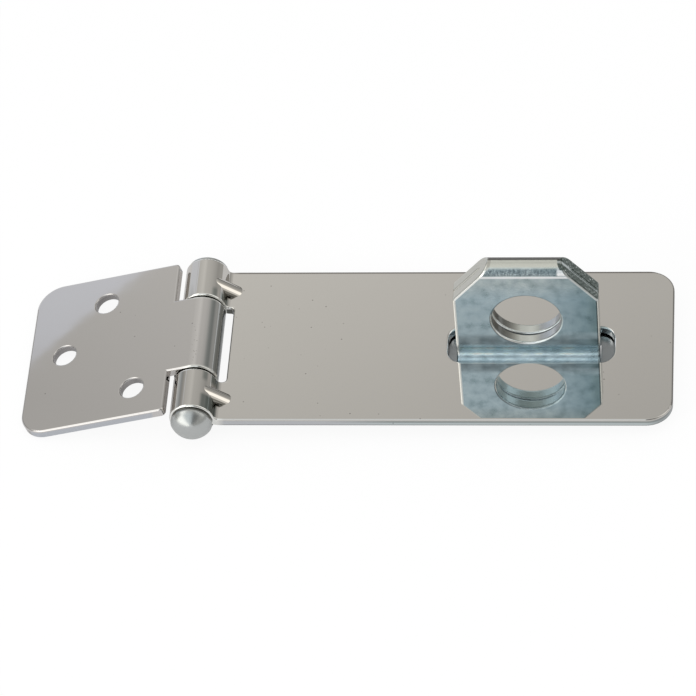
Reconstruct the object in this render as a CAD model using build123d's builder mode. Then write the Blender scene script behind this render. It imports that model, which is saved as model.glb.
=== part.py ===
"""Padlock hasp: slotted strap, fixing leaf, rivet pin and folded staple.

Millimetres. The origin is the middle of the staple's underside, on the plane that the closed hasp is
screwed to. +X runs along the strap to its free end, +Y along the hinge pin, and +Z up. The leaf is
shown swung out beyond the hinge, sloping down.
"""

import os
from math import asin, atan2, cos, degrees, hypot, radians, sin, sqrt

from build123d import *

os.makedirs("parts", exist_ok=True)

# Strap and leaf sheet
sheet = 1.8                     # thickness of the strap and of the leaf
strap_width = 39.5
strap_reach = 95.6              # from the pin's axis to the strap's free end
strap_corner = 5.3              # radius of the strap's two free corners
sheet_edge = 0.4                # rounding of the stamped edges

# Hinge barrel
barrel_radius = 4.5             # outside of the rolled knuckles
pin_clearance = 0.05            # all round, between the pin and the knuckles
axis_drop = 0.3                 # the pin's axis lies this far below the strap's top face
bend_radius = 0.9               # inside of the reverse bend from the strap up to its knuckles
leaf_knuckle = 18.8             # length of the leaf's single knuckle
knuckle_gap = 0.45              # between neighbouring knuckles
strap_curl_gap = 22.0           # degrees below level where the strap's curl ends
leaf_curl_gap = 28.0            # degrees above level where the leaf's curl ends
notch_clearance = 1.6           # from the leaf's knuckle to the strap's notch
notch_corner = 0.8

# Stiffening ribs across the reverse bends
rib_width = 2.8
rib_side = 14.4                 # from the strap's middle line to each rib
rib_foot = 7.4                  # from the pin's axis to where a rib runs out on the strap
rib_flank = 0.8                 # how far a rib's sloping flanks reach down from its crest
rib_round = 0.4                 # rounding of the crest
rib_lift = 0.03                 # the line of the flanks' meeting touches this far above the barrel
rib_depth = 1.5                 # how deep a rib is rooted in the strap's sheet
rib_hollow = 1.0                # width of the hollow that pressing leaves under each rib

# Rivet pin
head_inset = 0.35               # the head is this much smaller all round than the knuckles
head_rim = 1.0
head_dome = 2.6
tail_inset = 0.4
tail_rim = 0.7
tail_dome = 0.5
pin_edge = 0.25                 # rounding of the rims in front and behind
head_back = 0.4                 # rounding of the head's rim beside the knuckle

# Fixing leaf
leaf_tilt = 15.3                # degrees that the leaf slopes down from level
leaf_width = 39.2
leaf_reach = 35.8               # from the pin's axis to the leaf's free end
leaf_corner = 5.5
shoulder_clearance = 0.8        # from the cut-outs beside the leaf's knuckle to the strap's knuckles
shoulder_corner = 0.9
leaf_hole = 5.0                 # diameter of the screw holes
leaf_hole_first = 12.0          # from the pin's axis to the nearest hole
leaf_hole_step = 8.0            # along the leaf, from one hole to the next
leaf_hole_side = 12.2           # across the leaf, from the middle to the outer holes
hole_edge = 0.25

# Slot for the staple
slot_end_gap = 2.3              # between the lug and the slot, at each end on average
slot_side_gap = 2.15
slot_corner = 3.0
staple_distance = 66.6          # from the pin's axis to the middle of the staple
staple_shift = 0.45             # the loose staple stands this much nearer the hinge than the slot's middle

# Folded staple
staple_sheet = 2.45
fold_gap = 0.1                  # between the two layers of the lug
lug_width = 28.8
lug_height = 29.6               # from the fixing plane to the top of the fold
lug_corner_height = 20.8        # where the sloped corners start
lug_top_width = 14.6            # between the sloped corners at the top of the fold
lug_corner = 1.0
lug_edge = 0.5                  # rounding of the lug's outer edges
shackle_hole = 13.9
shackle_height = 15.0
shackle_edge = 0.45
seam_edge = 0.45                # rounding of the edges that meet at the seam in the hole
foot_bend = 4.0                 # inside radius where the lug turns out into its flanges
base_length = 38.0              # along the strap
base_width = 33.0               # across the strap
base_corner = 4.0
base_clearance = 0.55           # between the flanges and the strap that lies over them
base_hole = 5.0
base_hole_head = 8.6            # diameter of the countersinks
base_hole_x = 25.0              # spacing along the strap
base_hole_y = 22.0              # spacing across the strap

# Places worked out from the sizes above
bore_radius = barrel_radius - sheet
pin_radius = bore_radius - pin_clearance
hinge_x = -staple_distance
axis_z = staple_sheet + base_clearance + sheet - axis_drop
half_width = strap_width / 2
notch_half = leaf_knuckle / 2 + knuckle_gap
notch_reach = barrel_radius + notch_clearance
lug_half = staple_sheet + fold_gap / 2
slot_length = lug_width + 2 * slot_end_gap
slot_width = 2 * (lug_half + slot_side_gap)
head_radius = barrel_radius - head_inset
tail_radius = barrel_radius - tail_inset
leaf_shoulder = sqrt((barrel_radius + shoulder_clearance) ** 2 - bore_radius**2)

# Planes: along the strap at the hinge, and the same turned with the leaf
hinge_plane = Plane(origin=(hinge_x, 0, axis_z), x_dir=(1, 0, 0), z_dir=(0, -1, 0))
leaf_along = (cos(radians(leaf_tilt)), 0, sin(radians(leaf_tilt)))
leaf_normal = (-leaf_along[2], 0, leaf_along[0])
leaf_plane = Plane(origin=hinge_plane.origin, x_dir=leaf_along, z_dir=(0, -1, 0))
leaf_face = Plane(origin=hinge_plane.origin, x_dir=leaf_along, z_dir=leaf_normal).offset(barrel_radius)
through = 2 * (barrel_radius + lug_height)


def is_arc(edge, radius):
    """True for a round edge of this radius."""
    return edge.geom_type == GeomType.CIRCLE and abs(edge.radius - radius) < 0.01


# Strap: flat sheet, reverse bend and rolled knuckles in one profile
bend_rise = axis_drop + bend_radius
bend_centre = (sqrt((barrel_radius + bend_radius) ** 2 - bend_rise**2), bend_rise)
bend_angle = degrees(atan2(bend_centre[1], bend_centre[0]))
curl_sweep = 360 - strap_curl_gap - bend_angle
curl_end = (cos(radians(strap_curl_gap)), -sin(radians(strap_curl_gap)))
strap_under = axis_drop - sheet

# A rib's crest is the straight line from the strap up to where it touches the barrel
rib_radius = barrel_radius + rib_lift
rib_length = sqrt(rib_foot**2 + axis_drop**2 - rib_radius**2)
rib_rise = asin(rib_radius / hypot(rib_foot, axis_drop)) - atan2(axis_drop, rib_foot)
rib_drop = sheet / cos(rib_rise)
rib_slope = sin(rib_rise) / cos(rib_rise)
rib_plane = Plane(
    origin=hinge_plane.from_local_coords((rib_foot, axis_drop, 0)),
    x_dir=(0, -1, 0),
    z_dir=(-cos(rib_rise), 0, sin(rib_rise)),
)

with BuildPart() as rib:
    with BuildSketch(rib_plane) as rib_section:
        with BuildLine():
            Polyline(
                (0, 0),
                (rib_width / 2, -rib_flank),
                (rib_width / 2, -rib_depth),
                (-rib_width / 2, -rib_depth),
                (-rib_width / 2, -rib_flank),
                close=True,
            )
        make_face()
        fillet(rib_section.vertices().sort_by(Axis.Y)[-1], rib_round)
    extrude(amount=rib_length)

with BuildPart() as strap:
    with BuildSketch(hinge_plane):
        with BuildLine():
            Line((strap_reach, axis_drop), (bend_centre[0], axis_drop))
            CenterArc(bend_centre, bend_radius, 270, bend_angle - 90)
            CenterArc((0, 0), barrel_radius, bend_angle, curl_sweep)
            Line(
                (curl_end[0] * barrel_radius, curl_end[1] * barrel_radius),
                (curl_end[0] * bore_radius, curl_end[1] * bore_radius),
            )
            CenterArc((0, 0), bore_radius, -strap_curl_gap, -curl_sweep)
            CenterArc(bend_centre, bend_radius + sheet, 180 + bend_angle, 90 - bend_angle)
            Line((bend_centre[0], strap_under), (strap_reach, strap_under))
            Line((strap_reach, strap_under), (strap_reach, axis_drop))
        make_face()
    extrude(amount=half_width, both=True)

    # Rounded free corners
    fillet(strap.edges().filter_by(Axis.Z).group_by(Axis.X)[-1], strap_corner)

    # Notch for the leaf's knuckle and slot for the staple
    with BuildSketch():
        notch_length = 2 * notch_reach + barrel_radius
        with Locations((hinge_x + notch_reach - notch_length / 2, 0)):
            RectangleRounded(notch_length, 2 * notch_half, notch_corner)
        with Locations((staple_shift, 0)):
            RectangleRounded(slot_length, slot_width, slot_corner)
    extrude(amount=through, both=True, mode=Mode.SUBTRACT)

    # Stamped edges: along the top face and round the knuckles
    stamped = strap.faces().filter_by(Plane.XY).sort_by(Axis.Z)[-1].edges()
    stamped += strap.edges().filter_by(lambda edge: is_arc(edge, barrel_radius))
    stamped += strap.edges().filter_by(lambda edge: is_arc(edge, bend_radius))
    fillet(stamped, sheet_edge)

    # A rib in the middle of each knuckle, and the hollow under it
    with Locations((0, rib_side, 0), (0, -rib_side, 0)):
        add(rib.part)
    for side in (1, -1):
        with BuildSketch(hinge_plane.offset(side * rib_side)):
            with BuildLine():
                Polyline(
                    (rib_foot + (sheet - rib_drop) / rib_slope, strap_under),
                    (barrel_radius, axis_drop + (rib_foot - barrel_radius) * rib_slope - rib_drop),
                    (barrel_radius, strap_under - sheet),
                    close=True,
                )
            make_face()
        extrude(amount=rib_hollow / 2, both=True, mode=Mode.SUBTRACT)
strap.part.label = "hasp_strap"
export_step(strap.part, "parts/hasp_strap.step")

# Rivet pin: domed head in front, low peened tail behind
pin_plane = Plane(origin=hinge_plane.origin, x_dir=(0, 1, 0), z_dir=(1, 0, 0))
head_curve = (head_radius**2 + head_dome**2) / (2 * head_dome)
tail_curve = (tail_radius**2 + tail_dome**2) / (2 * tail_dome)

with BuildPart() as pin:
    with BuildSketch(pin_plane):
        with BuildLine():
            Line((-half_width - head_rim - head_dome, 0), (half_width + tail_rim + tail_dome, 0))
            RadiusArc(
                (half_width + tail_rim + tail_dome, 0),
                (half_width + tail_rim, tail_radius),
                -tail_curve,
            )
            Polyline(
                (half_width + tail_rim, tail_radius),
                (half_width, tail_radius),
                (half_width, pin_radius),
                (-half_width, pin_radius),
                (-half_width, head_radius),
                (-half_width - head_rim, head_radius),
            )
            RadiusArc(
                (-half_width - head_rim, head_radius),
                (-half_width - head_rim - head_dome, 0),
                -head_curve,
            )
        make_face()
    revolve(axis=Axis(hinge_plane.origin, (0, 1, 0)))
    head_rims = pin.edges().filter_by(lambda edge: is_arc(edge, head_radius)).sort_by(Axis.Y)
    fillet(head_rims[0], pin_edge)
    fillet(head_rims[-1], head_back)
    fillet(pin.edges().filter_by(lambda edge: is_arc(edge, tail_radius)).sort_by(Axis.Y)[-1], pin_edge)
pin.part.label = "hinge_pin"
export_step(pin.part, "parts/hinge_pin.step")

# Fixing leaf: flat sheet that runs over the pin in the middle and curls under it
leaf_curl = 360 - 90 + leaf_curl_gap
leaf_end = (-cos(radians(leaf_curl_gap)), sin(radians(leaf_curl_gap)))
leaf_flat = leaf_reach - leaf_shoulder

with BuildPart() as leaf:
    with BuildSketch(leaf_face) as leaf_outline:
        with Locations((-leaf_shoulder - leaf_flat / 2, 0)):
            Rectangle(leaf_flat, leaf_width)
        fillet(leaf_outline.vertices().group_by(Axis.X)[0], leaf_corner)
        fillet(leaf_outline.vertices().group_by(Axis.X)[-1], shoulder_corner)
    extrude(amount=-sheet)

    with BuildSketch(leaf_plane):
        with BuildLine():
            Polyline(
                (0, bore_radius),
                (-leaf_shoulder - sheet, bore_radius),
                (-leaf_shoulder - sheet, barrel_radius),
                (0, barrel_radius),
            )
            CenterArc((0, 0), barrel_radius, 90, -leaf_curl)
            Line(
                (leaf_end[0] * barrel_radius, leaf_end[1] * barrel_radius),
                (leaf_end[0] * bore_radius, leaf_end[1] * bore_radius),
            )
            CenterArc((0, 0), bore_radius, 90 - leaf_curl, leaf_curl)
        make_face()
    extrude(amount=leaf_knuckle / 2, both=True)

    # Stamped edges: along the top face, up to where it turns into the knuckle, and round the knuckle
    stamped = leaf.faces().filter_by(leaf_face).sort_by(Axis.Z)[-1].edges().sort_by(Axis.X)[:-1]
    stamped += leaf.edges().filter_by(lambda edge: is_arc(edge, barrel_radius))
    fillet(stamped, sheet_edge)

    # Staggered screw holes
    with BuildSketch(leaf_face):
        with Locations(
            (-leaf_hole_first, -leaf_hole_side),
            (-leaf_hole_first - leaf_hole_step, leaf_hole_side),
            (-leaf_hole_first - 2 * leaf_hole_step, 0),
        ):
            Circle(leaf_hole / 2)
    extrude(amount=-sheet, mode=Mode.SUBTRACT)
    fillet(leaf.edges().filter_by(lambda edge: is_arc(edge, leaf_hole / 2)), hole_edge)
leaf.part.label = "hinge_leaf"
export_step(leaf.part, "parts/hinge_leaf.step")

# Staple: one sheet folded double into the lug and bent out at its foot
fold_z = lug_height - lug_half
foot_y = lug_half + foot_bend
foot_z = staple_sheet + foot_bend

with BuildPart() as staple:
    with BuildSketch(Plane.YZ):
        with BuildLine():
            CenterArc((0, fold_z), lug_half, 90, -90)
            Line((lug_half, fold_z), (lug_half, foot_z))
            CenterArc((foot_y, foot_z), foot_bend, 180, 90)
            Polyline(
                (foot_y, staple_sheet),
                (base_width / 2, staple_sheet),
                (base_width / 2, 0),
                (foot_y, 0),
            )
            CenterArc((foot_y, foot_z), foot_bend + staple_sheet, 270, -90)
            Line((fold_gap / 2, foot_z), (fold_gap / 2, fold_z))
            CenterArc((0, fold_z), fold_gap / 2, 0, 90)
            Line((0, fold_z + fold_gap / 2), (0, lug_height))
        make_face()
        mirror(about=Plane.YZ)
    extrude(amount=lug_width / 2, both=True)

    # Sloped corners
    with BuildSketch(Plane.XZ):
        with BuildLine():
            Polyline(
                (lug_width / 2, lug_corner_height),
                (lug_top_width / 2, lug_height),
                (lug_top_width / 2, lug_height + lug_half),
                (lug_width, lug_height + lug_half),
                (lug_width, lug_corner_height),
                close=True,
            )
        make_face()
        mirror(about=Plane.YZ)
    extrude(amount=foot_y, both=True, mode=Mode.SUBTRACT)
    corners = staple.edges().filter_by(Axis.Y)
    fillet(corners.filter_by(lambda edge: abs(edge.center().Z - lug_corner_height) < fold_gap), lug_corner)

    # Shackle hole through both layers
    with BuildSketch(Plane.XZ):
        with Locations((0, shackle_height)):
            Circle(shackle_hole / 2)
    extrude(amount=foot_y, both=True, mode=Mode.SUBTRACT)

    # Rounded edges: outside, and along the seam between the layers
    uprights = staple.edges().filter_by(Axis.Z)
    rims = staple.edges().filter_by(lambda edge: is_arc(edge, shackle_hole / 2))
    fillet(uprights.filter_by(lambda edge: abs(edge.center().Y) > staple_sheet), lug_edge)
    fillet(rims.filter_by(lambda edge: abs(edge.center().Y) > staple_sheet), shackle_edge)
    fillet(rims.filter_by(lambda edge: abs(edge.center().Y) < staple_sheet), seam_edge)
    uprights = staple.edges().filter_by(Axis.Z)
    fillet(uprights.filter_by(lambda edge: abs(edge.center().Y) < fold_gap), seam_edge)

    # Flanges: the sheet beside the lug stays flat, and both halves meet tightly in the middle
    with BuildSketch():
        RectangleRounded(base_length, base_width, base_corner)
        Rectangle(lug_width, 2 * foot_y, mode=Mode.SUBTRACT)
    extrude(amount=staple_sheet)
    with Locations(Plane.XY.offset(staple_sheet)):
        with GridLocations(base_hole_x, base_hole_y, 2, 2):
            CounterSinkHole(base_hole / 2, base_hole_head / 2, counter_sink_angle=90)
staple.part.label = "staple"
export_step(staple.part, "parts/staple.step")
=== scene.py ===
"""Padlock hasp: a plated strap and leaf hinged on a rivet pin, with the folded zinc staple in the slot."""

from math import cos, radians, sin

import bpy
from mathutils import Matrix, Vector


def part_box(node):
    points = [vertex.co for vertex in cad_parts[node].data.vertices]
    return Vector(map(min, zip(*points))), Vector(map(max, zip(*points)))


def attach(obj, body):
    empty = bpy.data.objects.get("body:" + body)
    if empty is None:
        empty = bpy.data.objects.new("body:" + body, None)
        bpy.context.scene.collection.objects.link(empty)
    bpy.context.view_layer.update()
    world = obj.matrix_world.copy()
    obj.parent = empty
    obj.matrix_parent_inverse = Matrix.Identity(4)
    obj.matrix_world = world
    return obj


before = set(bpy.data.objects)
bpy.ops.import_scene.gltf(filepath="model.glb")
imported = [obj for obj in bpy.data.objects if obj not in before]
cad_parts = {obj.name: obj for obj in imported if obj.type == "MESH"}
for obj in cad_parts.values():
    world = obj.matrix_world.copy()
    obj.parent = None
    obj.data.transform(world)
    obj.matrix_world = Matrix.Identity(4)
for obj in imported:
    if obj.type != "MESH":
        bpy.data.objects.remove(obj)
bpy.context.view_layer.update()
bpy.context.scene.view_settings.view_transform = "Standard"

# Places on the hasp, in metres, from the frame
pin_low, pin_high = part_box("hinge_pin")
pin_x = (pin_low.x + pin_high.x) / 2
pin_z = (pin_low.z + pin_high.z) / 2
strap_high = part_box("hasp_strap")[1]
leaf_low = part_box("hinge_leaf")[0]
staple_low, staple_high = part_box("staple")
fold_top = staple_high.z
barrel_radius = strap_high.z - pin_z
barrel_side = pin_x + barrel_radius

# Sizes of the sheet work, in metres
sheet = 0.0018
sheet_edge = 0.0004
strap_corner = 0.0053
strap_top = pin_z + 0.0003
strap_under = strap_top - sheet
edge_top = strap_top - sheet_edge
notch_half = 0.0098
rib_side = 0.0144
leaf_tilt = radians(15.3)
leaf_face_half = 0.0185
leaf_knuckle_half = 0.0088
lug_half = 0.0144
lug_slope = 0.807
slope_across, slope_up = 0.778, 0.628
shackle_z = 0.015
shackle_radius = 0.00695

# Colours used in more than one place
plating = (0.63, 0.61, 0.583)
# Painted highlight, used on the staple's hole rims and upright edges
highlight_white = (0.95, 0.96, 0.94)
white = (1.0, 1.0, 1.0)


def new_finish(name):
    """An empty node material and its node tree."""
    finish = bpy.data.materials.new(name)
    finish.use_nodes = True
    finish.node_tree.nodes.clear()
    return finish, finish.node_tree


def put(tree, value, socket):
    """Set a socket to a plain value, or join it to another node."""
    if isinstance(value, bpy.types.NodeSocket):
        tree.links.new(value, socket)
    else:
        socket.default_value = value


def reckon(tree, operation, first, second=0.0):
    """One sum on two values."""
    node = tree.nodes.new("ShaderNodeMath")
    node.operation = operation
    put(tree, first, node.inputs[0])
    put(tree, second, node.inputs[1])
    return node.outputs["Value"]


def times(tree, first, second):
    """Two values multiplied."""
    return reckon(tree, "MULTIPLY", first, second)


def less(tree, first, second):
    """The first value less the second."""
    return reckon(tree, "SUBTRACT", first, second)


def larger(tree, first, second):
    """The larger of two values."""
    return reckon(tree, "MAXIMUM", first, second)


def distance(tree, first, second):
    """How far a place lies from the middle, by its two distances across and along."""
    squares = reckon(tree, "ADD", reckon(tree, "POWER", first, 2.0), reckon(tree, "POWER", second, 2.0))
    return reckon(tree, "SQRT", squares)


def spread(tree, value, low, high, to_low, to_high):
    """The value moved from one range to another, held at its ends."""
    node = tree.nodes.new("ShaderNodeMapRange")
    put(tree, value, node.inputs["Value"])
    node.inputs["From Min"].default_value = low
    node.inputs["From Max"].default_value = high
    node.inputs["To Min"].default_value = to_low
    node.inputs["To Max"].default_value = to_high
    return node.outputs["Result"]


def within(tree, value, low, high, fade):
    """One between two limits, fading to nothing outside them."""
    rise = spread(tree, value, low - fade, low, 0, 1)
    fall = spread(tree, value, high, high + fade, 1, 0)
    return times(tree, rise, fall)


def ramp(tree, value, stops):
    """A colour ramp through (place, colour) stops."""
    node = tree.nodes.new("ShaderNodeValToRGB")
    elements = node.color_ramp.elements
    for element, (position, colour) in zip(elements, (stops[0], stops[-1])):
        element.position = position
        element.color = (*colour, 1)
    for position, colour in stops[1:-1]:
        elements.new(position).color = (*colour, 1)
    put(tree, value, node.inputs["Fac"])
    return node.outputs["Color"]


def mix(tree, amount, first, second, kind="MIX"):
    """Two colours mixed."""
    node = tree.nodes.new("ShaderNodeMix")
    node.data_type = "RGBA"
    node.blend_type = kind
    put(tree, amount, node.inputs["Factor"])
    for colour, socket in ((first, node.inputs["A"]), (second, node.inputs["B"])):
        put(tree, (*colour, 1) if isinstance(colour, tuple) else colour, socket)
    return node.outputs["Result"]


def clouds(tree, place, scale, detail):
    """Cloudy noise on the piece, in blotches of about 1 / scale metres."""
    node = tree.nodes.new("ShaderNodeTexNoise")
    put(tree, place, node.inputs["Vector"])
    node.inputs["Scale"].default_value = scale
    node.inputs["Detail"].default_value = detail
    return node.outputs["Fac"]


def specks(tree, place, spacing, size, share):
    """Round specks of this size, at about this spacing, in a share of the places."""
    node = tree.nodes.new("ShaderNodeTexVoronoi")
    put(tree, place, node.inputs["Vector"])
    node.inputs["Scale"].default_value = 1 / spacing
    chosen = tree.nodes.new("ShaderNodeSeparateColor")
    put(tree, node.outputs["Color"], chosen.inputs["Color"])
    limit = size / spacing
    spot = spread(tree, node.outputs["Distance"], 0.5 * limit, limit, 1, 0)
    return times(tree, spot, reckon(tree, "LESS_THAN", chosen.outputs["Red"], share))


def relief(tree, surface, height, depth, strength):
    """Small relief on a surface."""
    node = tree.nodes.new("ShaderNodeBump")
    node.inputs["Distance"].default_value = depth
    node.inputs["Strength"].default_value = strength
    put(tree, height, node.inputs["Height"])
    put(tree, node.outputs["Normal"], surface.inputs["Normal"])


def metal(tree, colour, roughness):
    """A metal surface joined to the material's output."""
    surface = tree.nodes.new("ShaderNodeBsdfPrincipled")
    put(tree, colour, surface.inputs["Base Color"])
    put(tree, roughness, surface.inputs["Roughness"])
    surface.inputs["Metallic"].default_value = 1
    output = tree.nodes.new("ShaderNodeOutputMaterial")
    put(tree, surface.outputs["BSDF"], output.inputs["Surface"])
    return surface


def piece_place(tree):
    """The piece's own coordinates, whole and as x, y and z."""
    place = tree.nodes.new("ShaderNodeTexCoord").outputs["Object"]
    parts = tree.nodes.new("ShaderNodeSeparateXYZ")
    put(tree, place, parts.inputs["Vector"])
    return place, parts.outputs["X"], parts.outputs["Y"], parts.outputs["Z"]


def polished(tree, colour, place):
    """Polished plate: nearly a mirror, faintly smeared and wavy, with dark specks."""
    pits = specks(tree, place, 0.003, 0.0002, 0.45)
    colour = mix(tree, times(tree, pits, 0.55), colour, (0.1, 0.09, 0.08))
    smears = clouds(tree, place, 45, 3)
    surface = metal(tree, colour, spread(tree, smears, 0.3, 0.7, 0.012, 0.045))
    relief(tree, surface, clouds(tree, place, 90, 2), 0.00002, 0.3)


def reflections_round_pin(tree, x, z, marks):
    """Painted reflections round the pin: tones, cool where dark, through (degrees from the top towards the
    strap, tone) marks.
    """
    round_pin = reckon(tree, "ARCTAN2", less(tree, x, pin_x), less(tree, z, pin_z))
    half_turn = spread(tree, round_pin, 0, radians(180), 0, 1)
    return ramp(tree, half_turn, [(turn / 180, (tone ** 1.15, tone, tone)) for turn, tone in marks])


def near_ribs(tree, y, low, high, fade):
    """One between two distances from each rib's middle, measured towards the back."""
    return larger(
        tree, within(tree, y, rib_side + low, rib_side + high, fade),
        within(tree, y, -rib_side + low, -rib_side + high, fade),
    )


def cut_edge_and_reflection(tree, x, z, past_x):
    """Cut edge of the strap: burnished above, torn below, with a dark line between towards the free end; its
    darker cool tones are also painted reflection of the shaded floor, with painted shade at the rounded
    corner.
    """
    up_edge = spread(tree, z, strap_under, edge_top, 0, 1)
    torn = ramp(tree, up_edge, [
        (0.0, (0.36, 0.36, 0.37)), (0.12, (0.38, 0.38, 0.39)), (0.22, (0.58, 0.59, 0.62)),
        (0.75, (0.58, 0.59, 0.61)), (1.0, (0.56, 0.56, 0.56)),
    ])
    lined = ramp(tree, up_edge, [
        (0.0, (0.36, 0.38, 0.38)), (0.12, (0.38, 0.4, 0.4)), (0.22, (0.6, 0.66, 0.67)),
        (0.5, (0.58, 0.64, 0.65)), (0.62, (0.36, 0.39, 0.39)), (0.82, (0.34, 0.37, 0.36)),
        (1.0, (0.5, 0.5, 0.47)),
    ])
    to_free_end = spread(tree, x, -0.04, -0.026, 0, 1)
    # Painted shade at the rounded corner
    corner_shade = spread(tree, past_x, 0.0, 0.003, 0, 0.6)
    return mix(tree, corner_shade, mix(tree, to_free_end, torn, lined), (0.25, 0.26, 0.26))


def strap_plating():
    """Warm bright plating of the strap: banded cut edges, painted shade and highlights on its rims, painted
    reflections and shade on the knuckles, scuffs near the hinge.
    """
    finish, tree = new_finish("strap_plating")
    place, x, y, z = piece_place(tree)
    across = reckon(tree, "ABSOLUTE", y)
    flat_part = spread(tree, x, barrel_side, barrel_side + 0.002, 0, 1)
    below_rim = spread(tree, z, edge_top - 0.0001, edge_top, 1, 0)

    # Cut edges, with the distance past the middle of each rounded corner
    past_x = larger(tree, less(tree, x, strap_high.x - strap_corner), 0.0)
    past_y = larger(tree, less(tree, across, strap_high.y - strap_corner), 0.0)
    on_edge = times(tree, flat_part, below_rim)
    colour = mix(tree, on_edge, plating, cut_edge_and_reflection(tree, x, z, past_x))

    # Far rim and free end: painted shade along the outline
    past = distance(tree, past_x, past_y)
    free_end = spread(tree, past, strap_corner - 0.0003, strap_corner - 0.0002, 0, 0.75)
    far_side = spread(tree, across, strap_high.y - 0.0007, strap_high.y - 0.0005, 0, 0.75)
    to_back = times(tree, flat_part, spread(tree, y, -0.0165, -0.0155, 0, 1))
    outline_shade = times(tree, larger(tree, free_end, far_side), to_back)
    outline_shade = times(tree, outline_shade, spread(tree, z, strap_under, strap_under + 0.0001, 0, 1))
    colour = mix(tree, outline_shade, colour, (0.14, 0.13, 0.12))

    # Knuckles: painted reflections low on their sides, and painted shade in the corners beside the ribs
    on_roll = spread(tree, x, barrel_side, barrel_side + 0.0004, 1, 0)
    inner_side = times(tree, on_roll, within(tree, across, notch_half, rib_side - 0.0026, 0.001))
    inner_reflections = reflections_round_pin(tree, x, z, [
        (22, 1.0), (30, 0.6), (37, 0.65), (43, 1.1), (48, 1.0), (54, 0.5), (80, 0.45),
    ])
    colour = mix(tree, inner_side, colour, inner_reflections, "MULTIPLY")
    outer_side = times(tree, on_roll, spread(tree, y, -rib_side - 0.0019, -rib_side - 0.0012, 1, 0))
    outer_reflections = reflections_round_pin(tree, x, z, [
        (22, 1.0), (30, 0.5), (38, 0.55), (44, 0.35), (60, 0.4), (80, 0.25),
    ])
    colour = mix(tree, outer_side, colour, outer_reflections, "MULTIPLY")
    beside_ribs = near_ribs(tree, y, -0.002, -0.0012, 0.0002)
    rib_corner_shade = times(tree, beside_ribs, within(tree, x, pin_x + 0.004, pin_x + 0.0056, 0.0006))
    colour = mix(tree, times(tree, rib_corner_shade, 0.5), colour, (0.12, 0.115, 0.1))

    # Rims of the knuckles: painted highlight
    inner_rims = within(tree, across, notch_half, notch_half + sheet_edge, 0.0001)
    outer_rims = spread(tree, across, strap_high.y - 0.0004, strap_high.y - 0.0003, 0, 1)
    on_knuckle = spread(tree, x, barrel_side, barrel_side + 0.002, 0.85, 0)
    knuckle_rim_highlight = times(tree, larger(tree, inner_rims, outer_rims), on_knuckle)
    colour = mix(tree, knuckle_rim_highlight, colour, (0.95, 0.95, 0.92))

    # Notch: painted shade on the wall at its far end
    far_wall = within(tree, y, notch_half - 0.0001, notch_half + 0.0002, 0.00005)
    along_notch = within(tree, x, pin_x + 0.0046, pin_x + 0.0063, 0.0002)
    notch_wall_shade = times(tree, times(tree, far_wall, along_notch), times(tree, below_rim, 0.9))
    colour = mix(tree, notch_wall_shade, colour, (0.08, 0.08, 0.07))

    # Slot: painted highlight on its rim and wall
    slot_length = spread(tree, reckon(tree, "ABSOLUTE", x), 0.0185, 0.0187, 1, 0)
    slot_width = spread(tree, across, 0.0045, 0.0047, 1, 0)
    slot_height = within(tree, z, strap_under + 0.00005, strap_top - 0.00006, 0.00003)
    slot_rim_highlight = times(tree, times(tree, slot_length, slot_width), slot_height)
    colour = mix(tree, slot_rim_highlight, colour, (0.97, 0.97, 0.96))

    # Scuffs where the strap is handled
    along_strap = within(tree, x, pin_x + 0.012, pin_x + 0.024, 0.004)
    handled = times(tree, along_strap, within(tree, y, -0.006, 0.008, 0.004))
    scuffs = times(tree, handled, specks(tree, place, 0.0016, 0.00016, 0.6))
    polished(tree, mix(tree, times(tree, scuffs, 0.5), colour, (0.15, 0.14, 0.12)), place)
    return finish


def rib_plating():
    """The strap's plating on the ribs, with a painted highlight on the near flank of each and painted shade
    at its foot.
    """
    finish, tree = new_finish("rib_plating")
    place, _, y, _ = piece_place(tree)
    # Painted highlight on the near flank
    flank_highlight = near_ribs(tree, y, -0.0018, -0.0002, 0.0001)
    colour = mix(tree, flank_highlight, plating, (1.0, 0.95, 0.88))
    # Painted shade at the flank's foot
    flank_foot_shade = near_ribs(tree, y, -0.0018, -0.0014, 0.0001)
    polished(tree, mix(tree, flank_foot_shade, colour, (0.3, 0.29, 0.26)), place)
    return finish


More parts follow.
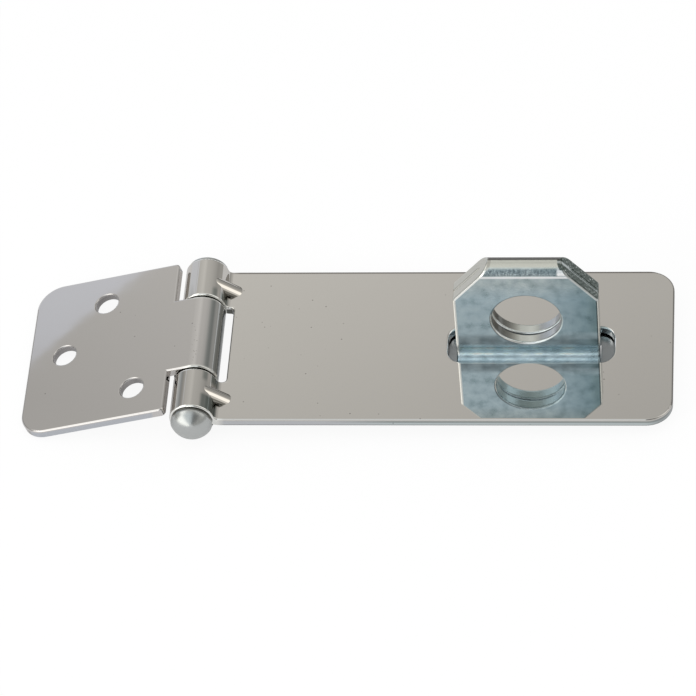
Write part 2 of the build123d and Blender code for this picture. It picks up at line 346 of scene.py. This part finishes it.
def leaf_plating():
    """Bright plating of the leaf: painted reflections round its knuckle, a painted highlight at the
    knuckle's ends, a scuff on top, darker hole walls and cooler cut edges.
    """
    finish, tree = new_finish("leaf_plating")
    place, x, y, z = piece_place(tree)
    # Painted reflections round the knuckle
    knuckle_reflections = reflections_round_pin(tree, x, z, [
        (15, 1.0), (22, 0.93), (30, 0.6), (36, 0.58), (41, 0.8),
        (46, 0.86), (53, 0.68), (60, 0.6), (90, 0.68), (150, 0.8),
    ])
    colour = mix(tree, 1.0, (0.65, 0.63, 0.62), knuckle_reflections, "MULTIPLY")

    # Walls of the screw holes, and the leaf's cut edges, below its sloping top face
    from_pin = less(tree, x, pin_x)
    over_pin = less(tree, z, pin_z)
    height = less(tree, times(tree, over_pin, cos(leaf_tilt)), times(tree, from_pin, sin(leaf_tilt)))
    leaf_part = spread(tree, from_pin, -0.008, -0.0075, 1, 0)
    top_rim = barrel_radius - sheet_edge
    inside = times(tree, leaf_part, within(tree, y, -leaf_face_half, leaf_face_half, 0.0002))
    wall = times(tree, inside, spread(tree, height, top_rim, top_rim + 0.0001, 0.75, 0))
    colour = mix(tree, wall, colour, (0.3, 0.29, 0.29))
    outline = times(tree, leaf_part, less(tree, 1.0, inside))
    cut_edge = times(tree, outline, spread(tree, height, top_rim - 0.0001, top_rim, 1, 0))
    colour = mix(tree, cut_edge, colour, (0.56, 0.58, 0.62))

    # Knuckle: painted highlight at its ends, scuffed on top
    across = reckon(tree, "ABSOLUTE", y)
    rims = spread(tree, across, leaf_knuckle_half, leaf_knuckle_half + 0.0001, 0, 0.8)
    end_highlight = times(tree, rims, spread(tree, from_pin, -0.003, -0.001, 0, 1))
    colour = mix(tree, end_highlight, colour, (0.84, 0.84, 0.81))
    top_strip = within(tree, from_pin, -0.0008, 0.0003, 0.0004)
    on_top = times(tree, top_strip, within(tree, y, -0.0085, 0.001, 0.001))
    dents = times(tree, specks(tree, place, 0.0006, 0.00016, 0.7), 0.4)
    polished(tree, mix(tree, times(tree, on_top, dents), colour, (0.2, 0.19, 0.17)), place)
    return finish


def rivet_steel():
    """Rivet steel: softly shining, with painted shade where the head meets the knuckle."""
    finish, tree = new_finish("rivet_steel_finish")
    place, _, y, _ = piece_place(tree)
    # Painted shade where the head meets the knuckle
    head_shade = within(tree, y, -strap_high.y - 0.0006, 0.0, 0.0001)
    colour = mix(tree, times(tree, head_shade, 0.85), (0.53, 0.545, 0.54), (0.08, 0.08, 0.07))
    metal(tree, colour, spread(tree, clouds(tree, place, 300, 4), 0.3, 0.7, 0.19, 0.27))
    return finish


def heights(tree, z, low, high, marks):
    """Grey tones up a piece, through (millimetres, tone) marks between two heights in millimetres."""
    up = spread(tree, z, low / 1000, high / 1000, 0, 1)
    return ramp(tree, up, [((mark - low) / (high - low), (tone, tone, tone)) for mark, tone in marks])


def zinc_face(tree, place, x, z, mottle):
    """Faces of the staple: blue-grey and mottled, with painted shade to the right and painted highlights and
    shade in bands round the foot.
    """
    colour = ramp(tree, mottle, [
        (0.3, (0.38, 0.5, 0.55)), (0.5, (0.53, 0.66, 0.73)), (0.7, (0.62, 0.75, 0.81)),
    ])
    # Painted shade: darker to the right, in bands up the lug
    right_shade = ramp(tree, spread(tree, x, -lug_half, lug_half, 0, 1), [
        (0.0, white), (0.55, white), (0.78, (0.78, 0.83, 0.85)),
        (0.91, (0.6, 0.68, 0.7)), (0.965, (0.44, 0.52, 0.52)), (1.0, (0.44, 0.52, 0.52)),
    ])
    right_shade_heights = [(7.0, 0.1), (7.4, 1.0), (8.9, 1.0), (9.5, 0.4), (10.8, 0.4), (11.7, 1.0)]
    right_shade_band = heights(tree, z, 3, 12.5, right_shade_heights)
    colour = mix(tree, right_shade_band, colour, right_shade, "MULTIPLY")

    # Foot: painted shade and painted highlights in bands round the bend
    foot_light_bands = [
        (3.0, 0.6), (3.6, 0.65), (3.68, 0.9), (3.83, 1.12), (4.0, 1.5), (4.17, 1.25), (4.36, 0.84),
        (4.54, 0.73), (4.73, 0.91), (4.92, 1.65), (5.13, 1.67), (5.35, 1.39), (5.62, 1.2), (5.86, 1.28),
        (6.12, 1.62), (6.4, 1.95), (6.7, 1.95), (7.0, 1.35), (7.3, 1.15), (7.6, 0.75), (7.92, 0.5),
        (8.84, 0.48), (9.45, 0.56), (9.95, 0.62), (10.5, 0.86), (11.0, 1.0),
    ]
    patchy = spread(tree, clouds(tree, place, 230, 3), 0.38, 0.58, 0.5, 1)
    colour = mix(tree, patchy, colour, heights(tree, z, 3, 11, foot_light_bands), "MULTIPLY")

    # Face below the fold: a little darker and warmer higher up. Flanges under the strap: painted shade
    colour = mix(tree, spread(tree, z, 0.021, 0.0255, 0, 1), colour, (0.9, 0.84, 0.78), "MULTIPLY")
    return mix(tree, spread(tree, z, 0.0025, 0.0027, 0.9, 0), colour, (0.29, 0.3, 0.31))


def zinc_hole(tree, colour, x, y, z):
    """Shackle hole: its walls in painted light and shade, the dark seam between the two layers, and painted
    highlights on the rims of both.
    """
    up = less(tree, z, shackle_z)
    from_hole = distance(tree, x, up)
    wall = spread(tree, from_hole, shackle_radius + 0.00005, shackle_radius + 0.0001, 0.9, 0)
    # Painted light and shade across the wall
    wall_light_and_shade = ramp(tree, spread(tree, x, -0.007, 0.007, 0, 1), [
        (0.0, (0.16, 0.15, 0.13)), (0.14, (0.16, 0.15, 0.13)), (0.22, (0.33, 0.32, 0.29)),
        (0.31, (0.55, 0.55, 0.5)), (0.39, (0.8, 0.82, 0.77)), (0.5, (0.77, 0.79, 0.75)),
        (0.6, (0.66, 0.68, 0.64)), (0.69, (0.48, 0.49, 0.48)), (0.79, (0.58, 0.6, 0.62)),
        (1.0, (0.6, 0.62, 0.65)),
    ])
    wall_light_and_shade = mix(tree, spread(tree, up, 0.0, 0.001, 0, 1), wall_light_and_shade, (0.6, 0.82, 0.9))
    colour = mix(tree, wall, colour, wall_light_and_shade)

    near_hole = spread(tree, from_hole, shackle_radius + 0.00025, shackle_radius + 0.0004, 1, 0)
    low_wall = spread(tree, up, 0.0, 0.001, 1, 0.25)
    seam = times(tree, times(tree, near_hole, low_wall), within(tree, y, -0.0004, 0.0, 0.0001))
    colour = mix(tree, seam, colour, (0.1, 0.1, 0.1))

    # Painted highlights on the rims
    rims = larger(tree, within(tree, y, 0.00005, 0.0005, 0.00005), spread(tree, y, -0.0022, -0.0021, 1, 0))
    hole_rim_highlight = times(tree, times(tree, near_hole, rims), spread(tree, up, 0.001, 0.002, 0.85, 0))
    hole_rim_highlight = times(tree, hole_rim_highlight, spread(tree, x, -0.001, 0.003, 1, 0.45))
    return mix(tree, hole_rim_highlight, colour, highlight_white)


def zinc_fold(tree, colour, place, x, down, on_fold):
    """Fold: grainy where the sheet is stretched, lighter along the crest, with painted highlights at the
    right end and where it meets the face.
    """
    off_crest = spread(tree, down, 0.0003, 0.0008, 0, 1)
    above_face = spread(tree, down, 0.0017, 0.0018, 1, 0)
    stretched = times(tree, on_fold, times(tree, off_crest, above_face))
    shade = spread(tree, clouds(tree, place, 4200, 4), 0.4, 0.62, 0.85, 0.1)
    colour = mix(tree, times(tree, stretched, shade), colour, (0.05, 0.08, 0.1))
    # Painted highlight at the fold's right end
    fold_end_highlight = times(tree, stretched, spread(tree, x, 0.0063, 0.0067, 0, 0.8))
    colour = mix(tree, fold_end_highlight, colour, white)
    crest = times(tree, on_fold, spread(tree, down, 0.0003, 0.0006, 1, 0))
    colour = mix(tree, crest, colour, (0.78, 0.8, 0.74))
    # Painted highlight where the fold meets the face
    fold_start_highlight = times(tree, on_fold, within(tree, down, 0.0019, 0.0023, 0.0001))
    return mix(tree, times(tree, fold_start_highlight, 0.8), colour, white)


def zinc_corners(tree, colour, x, y, z, side, grain):
    """Lug's outline: painted highlights on the upright edges and the slopes' front edges, sawn grain on the
    sloped corners, painted shade on the right.
    """
    # Painted highlights on the upright edges
    left_edge = spread(tree, x, -0.0139, -0.01375, 1, 0)
    right_edge = spread(tree, x, 0.0141, 0.0142, 0, 0.85)
    upright_highlights = times(tree, larger(tree, left_edge, right_edge), spread(tree, z, 0.0046, 0.005, 0, 1))
    colour = mix(tree, upright_highlights, colour, highlight_white)

    # Distance square to the slope, out from the lug's middle
    outward = reckon(tree, "ADD", times(tree, side, slope_across), times(tree, z, slope_up))
    to_right = reckon(tree, "GREATER_THAN", x, 0.0)
    on_front = spread(tree, y, -0.0018, -0.0017, 1, 0)
    # Painted highlight along the slopes' front edges, dimmer on the right
    front_edge_highlight = times(tree, spread(tree, outward, 0.0238, 0.0239, 0, 1), on_front)
    colour = mix(tree, front_edge_highlight, colour, mix(tree, to_right, (0.95, 0.96, 0.92), (0.56, 0.59, 0.58)))
    behind_edge = times(tree, spread(tree, outward, 0.0236, 0.0237, 0, 1), less(tree, 1.0, on_front))
    sawn = larger(tree, spread(tree, outward, 0.02416, 0.02422, 0, 1), behind_edge)
    flecks = [(0.35, (0.06, 0.08, 0.07)), (0.6, (0.16, 0.19, 0.18)), (0.72, (0.65, 0.7, 0.68))]
    seam_line = within(tree, y, -0.0004, 0.0, 0.0002)
    # Painted shade on the right slope's sawn face
    right_shade_tones = mix(tree, seam_line, ramp(tree, grain, flecks), (0.55, 0.6, 0.6))
    return mix(tree, sawn, colour, mix(tree, to_right, (0.6, 0.6, 0.56), right_shade_tones))


def staple_zinc():
    """Zinc on the staple: blue-grey and mottled, with painted shade to one side and painted highlights on
    its edges, grainy where cut or folded.
    """
    finish, tree = new_finish("staple_zinc")
    place, x, y, z = piece_place(tree)
    grain = clouds(tree, place, 2600, 3)
    mottle = clouds(tree, place, 420, 6)
    side = reckon(tree, "ABSOLUTE", x)
    down = less(tree, fold_top, z)
    on_fold = spread(tree, less(tree, side, times(tree, down, lug_slope)), 0.0068, 0.007, 1, 0)
    colour = zinc_face(tree, place, x, z, mottle)
    colour = zinc_hole(tree, colour, x, y, z)
    colour = zinc_fold(tree, colour, place, x, down, on_fold)
    colour = zinc_corners(tree, colour, x, y, z, side, grain)

    # Painted shade: a dull dark line along the back of the fold
    fold_back_shade = times(tree, on_fold, spread(tree, y, 0.0003, 0.00055, 0, 1))
    fold_back_shade = times(tree, fold_back_shade, spread(tree, down, 0.0017, 0.0019, 1, 0))
    colour = mix(tree, fold_back_shade, colour, (0.09, 0.085, 0.08))
    surface = metal(tree, colour, spread(tree, mottle, 0.3, 0.7, 0.28, 0.18))
    put(tree, less(tree, 1.0, fold_back_shade), surface.inputs["Metallic"])
    relief(tree, surface, grain, 0.00004, 0.25)
    return finish


finishes = {
    "hasp_strap": strap_plating(),
    "hinge_leaf": leaf_plating(),
    "hinge_pin": rivet_steel(),
    "staple": staple_zinc(),
}
for node_name, finish in finishes.items():
    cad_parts[node_name].material_slots[0].material = finish


# Ribs: a rounded bead pressed across the bend between the strap and each of its knuckles
rib_rise = radians(35.4)
rib_foot = Vector((pin_x + 0.0074, 0, strap_top))
rib_along = Vector((-cos(rib_rise), 0, sin(rib_rise)))
rib_up = Vector((sin(rib_rise), 0, cos(rib_rise)))
rib_halves = (0.0014, 0.0017, 0.0013)
rib_straight = 0.0051
rib_sunk = 0.0012
rib_middle = rib_foot + rib_along * 0.00285 - rib_up * rib_sunk


def pressed_rib(name):
    """A bead with blunt round ends, flat underneath, sunk into the strap at its back."""
    bpy.ops.object.select_all(action="DESELECT")
    bpy.ops.mesh.primitive_uv_sphere_add(segments=64, ring_count=32, radius=1)
    rib = bpy.context.object
    rib.name = name
    bpy.ops.object.mode_set(mode="EDIT")
    bpy.ops.mesh.bisect(plane_co=(0, 0, 0), plane_no=(0, 0, 1), use_fill=True, clear_inner=True)
    bpy.ops.mesh.select_all(action="SELECT")
    bpy.ops.transform.resize(value=rib_halves, center_override=(0, 0, 0))
    for end in (1, -1):
        bpy.ops.mesh.select_all(action="DESELECT")
        bpy.ops.object.mode_set(mode="OBJECT")
        for vertex in rib.data.vertices:
            vertex.select = vertex.co.x * end > 0.00001
        bpy.ops.object.mode_set(mode="EDIT")
        bpy.ops.transform.translate(value=(end * rib_straight / 2, 0, 0))
    bpy.ops.object.mode_set(mode="OBJECT")
    rib.data.transform(Matrix.Rotation(rib_rise, 4, "Y"))
    rib.data.transform(Matrix.Translation(rib_middle + Vector((0, rib_side, 0))))
    bpy.ops.object.shade_smooth_by_angle(angle=radians(50))
    rib.data.materials.append(rib_plating())
    return rib


rib_back = pressed_rib("rib_back")
rib_front = rib_back.copy()
rib_front.name = "rib_front"
rib_front.data = rib_back.data.copy()
rib_front.data.transform(Matrix.Translation((0, -2 * rib_side, 0)))
bpy.context.scene.collection.objects.link(rib_front)
for rib in (rib_back, rib_front):
    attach(rib, "strap")


def seen_by(tree, to_camera, to_metal):
    """How strongly the white shows, to the camera and to mirrors and glass."""
    rays = tree.nodes.new("ShaderNodeLightPath")
    mirrored = larger(tree, rays.outputs["Is Glossy Ray"], rays.outputs["Is Transmission Ray"])
    direct = times(tree, rays.outputs["Is Camera Ray"], to_camera)
    return larger(tree, direct, times(tree, mirrored, to_metal))


def show(tree, amount, plain, bright, output):
    """A plain surface with a bright one shown in its place by an amount."""
    blend = tree.nodes.new("ShaderNodeMixShader")
    put(tree, amount, blend.inputs["Fac"])
    put(tree, plain, blend.inputs[1])
    put(tree, bright, blend.inputs[2])
    put(tree, blend.outputs["Shader"], tree.nodes.new(output).inputs["Surface"])


# Stage: a pale floor under the leaf's end and the staple's far edge
floor_slope = (staple_low.z - leaf_low.z) / (staple_high.x - leaf_low.x)
bpy.ops.object.select_all(action="DESELECT")
bpy.ops.mesh.primitive_plane_add(size=8)
floor = bpy.context.object
floor.name = "floor"
floor.data.transform(Matrix.Rotation(-floor_slope, 4, "Y"))
floor.data.transform(Matrix.Translation((staple_high.x, 0, staple_low.z)))

pale_floor, tree = new_finish("pale_floor")
paint = tree.nodes.new("ShaderNodeBsdfDiffuse")
paint.inputs["Color"].default_value = (0.8, 0.8, 0.8, 1)
pale = tree.nodes.new("ShaderNodeEmission")
pale.inputs["Strength"].default_value = 1.07
floor_seen = seen_by(tree, 0.85, 0.35)
show(tree, floor_seen, paint.outputs["BSDF"], pale.outputs["Emission"], "ShaderNodeOutputMaterial")
floor.data.materials.append(pale_floor)

# Stage: a light tent of grey cloth that only the metal sees, an arch along the pin's direction
bpy.ops.object.select_all(action="DESELECT")
bpy.ops.mesh.primitive_cylinder_add(
    vertices=96, radius=1.2, depth=16, end_fill_type="NOTHING", rotation=(radians(90), 0, 0)
)
bpy.ops.object.transform_apply(rotation=True)
tent = bpy.context.object
tent.name = "light_tent"
tent.visible_camera = False
tent.visible_diffuse = False
tent.visible_transmission = False
tent.visible_shadow = False

cream = (1.0, 0.99, 0.95)
blue = (0.95, 1.0, 1.02)
lilac = (0.75, 0.775, 0.82)
dim = (0.2, 0.2, 0.19)


def arch(tree, turn, stops):
    """Cloth over the arch, through (degrees from overhead, level, tint) stops."""
    places = [((degrees + 180) / 360, tuple(level * t for t in tint)) for degrees, level, tint in stops]
    return ramp(tree, turn, places)


tent_cloth, tree = new_finish("tent_cloth")
_, x, y, z = piece_place(tree)
angle = reckon(tree, "ARCTAN2", x, z)
turn = spread(tree, angle, radians(-180), radians(180), 0, 1)
behind = arch(tree, turn, [
    (-150, 0.27, cream), (-108, 0.29, blue), (-97, 0.42, blue), (-90, 0.62, blue), (-82, 0.58, blue),
    (-72, 0.38, blue), (-62, 0.39, cream), (-52, 0.56, cream), (-42, 0.64, cream), (-14, 0.74, cream),
    (-7.5, 0.68, cream), (-1, 0.60, cream), (10, 0.58, cream), (30, 0.52, cream), (48, 0.44, cream),
    (58, 0.38, cream), (79, 0.42, cream), (90, 0.4, cream), (105, 0.3, cream), (150, 0.25, cream),
])
overhead = arch(tree, turn, [
    (-150, 0.3, cream), (-95, 0.45, cream), (-60, 0.6, cream), (-52, 1.8, cream), (-30, 1.8, cream),
    (-22, 0.75, cream), (18, 0.75, cream), (26, 1.1, cream), (66, 1.1, cream), (76, 0.5, cream),
    (150, 0.3, cream),
])
in_front = arch(tree, turn, [
    (-150, 0.3, cream), (-98, 0.5, cream), (-86, 2.1, cream), (-55, 2.1, cream), (-38, 1.05, blue),
    (-25, 0.98, blue), (0, 0.98, blue), (12, 0.25, blue), (36, 0.25, cream), (60, 0.6, cream),
    (90, 0.5, cream), (100, 0.4, cream), (150, 0.3, cream),
])
cloth = mix(tree, spread(tree, y, -0.5, -0.4, 0, 1), in_front, overhead)
cloth = mix(tree, spread(tree, y, 0.25, 0.45, 0, 1), cloth, behind)
cloth = mix(tree, spread(tree, y, 1.5, 2.2, 0, 1), cloth, dim)

# A cool panel on the left, whose slanting edge is mirrored across the leaf
slant_per_degree = 0.0314
slant = less(tree, y, times(tree, angle, slant_per_degree / radians(1)))
panel_turn = within(tree, angle, radians(-49.5), radians(-43), radians(1))
panel = times(tree, spread(tree, slant, 2.428, 2.431, 0, 1), panel_turn)
side_turn = within(tree, angle, radians(-95), radians(-54), radians(5))
side_panel = times(tree, spread(tree, y, 0.985, 1.01, 0, 1), side_turn)
cloth = mix(tree, larger(tree, panel, side_panel), cloth, lilac)
glow = tree.nodes.new("ShaderNodeEmission")
put(tree, cloth, glow.inputs["Color"])
put(tree, spread(tree, y, 0.92, 1.08, 0.9, 1.07), glow.inputs["Strength"])
put(tree, glow.outputs["Emission"], tree.nodes.new("ShaderNodeOutputMaterial").inputs["Surface"])
tent.data.materials.append(tent_cloth)

# White surround, with plain light on the floor
world = bpy.data.worlds.new("white_surround")
bpy.context.scene.world = world
world.use_nodes = True
tree = world.node_tree
tree.nodes.clear()
plain = tree.nodes.new("ShaderNodeBackground")
plain.inputs["Color"].default_value = (0.55, 0.55, 0.55, 1)
surround = tree.nodes.new("ShaderNodeBackground")
surround.inputs["Color"].default_value = (1, 1, 1, 1)
world_seen = seen_by(tree, 1.0, 1.0)
show(tree, world_seen, plain.outputs["Background"], surround.outputs["Background"], "ShaderNodeOutputWorld")

hasp_middle = Vector((-0.03, 0, 0))


def soft_lamp(name, place, size, power):
    """A square soft lamp at a place, turned to the hasp's middle; the metal mirrors the tent instead."""
    bpy.ops.object.light_add(type="AREA", location=place)
    lamp = bpy.context.object
    lamp.name = name
    lamp.data.size = size
    lamp.data.energy = power
    lamp.rotation_euler = (hasp_middle - Vector(place)).to_track_quat("-Z", "Y").to_euler()
    lamp.visible_glossy = False


soft_lamp("key_lamp", (-0.75, -0.66, 0.45), 0.3, 2)
soft_lamp("top_lamp", (0.1, -0.15, 0.9), 0.8, 1.5)

# Camera at the photograph's angle, for a square image, its focal length given in image widths
elevation, turn_right, roll = radians(48.759), radians(8.533), radians(-6.471)
camera_place = (0.04374, -0.53542, 0.62124)
focal_widths = 4068 / 696
back = Vector((sin(turn_right) * cos(elevation), -cos(turn_right) * cos(elevation), sin(elevation)))
right = Vector((cos(turn_right), sin(turn_right), 0))
up = back.cross(right)
camera_right = cos(roll) * right + sin(roll) * up
camera_up = cos(roll) * up - sin(roll) * right
camera_data = bpy.data.cameras.new("camera")
camera_data.sensor_width = 36
camera_data.lens = camera_data.sensor_width * focal_widths
camera = bpy.data.objects.new("camera", camera_data)
bpy.context.scene.collection.objects.link(camera)
turned = Matrix((camera_right, camera_up, back)).transposed().to_4x4()
camera.matrix_world = Matrix.Translation(camera_place) @ turned
bpy.context.scene.camera = camera
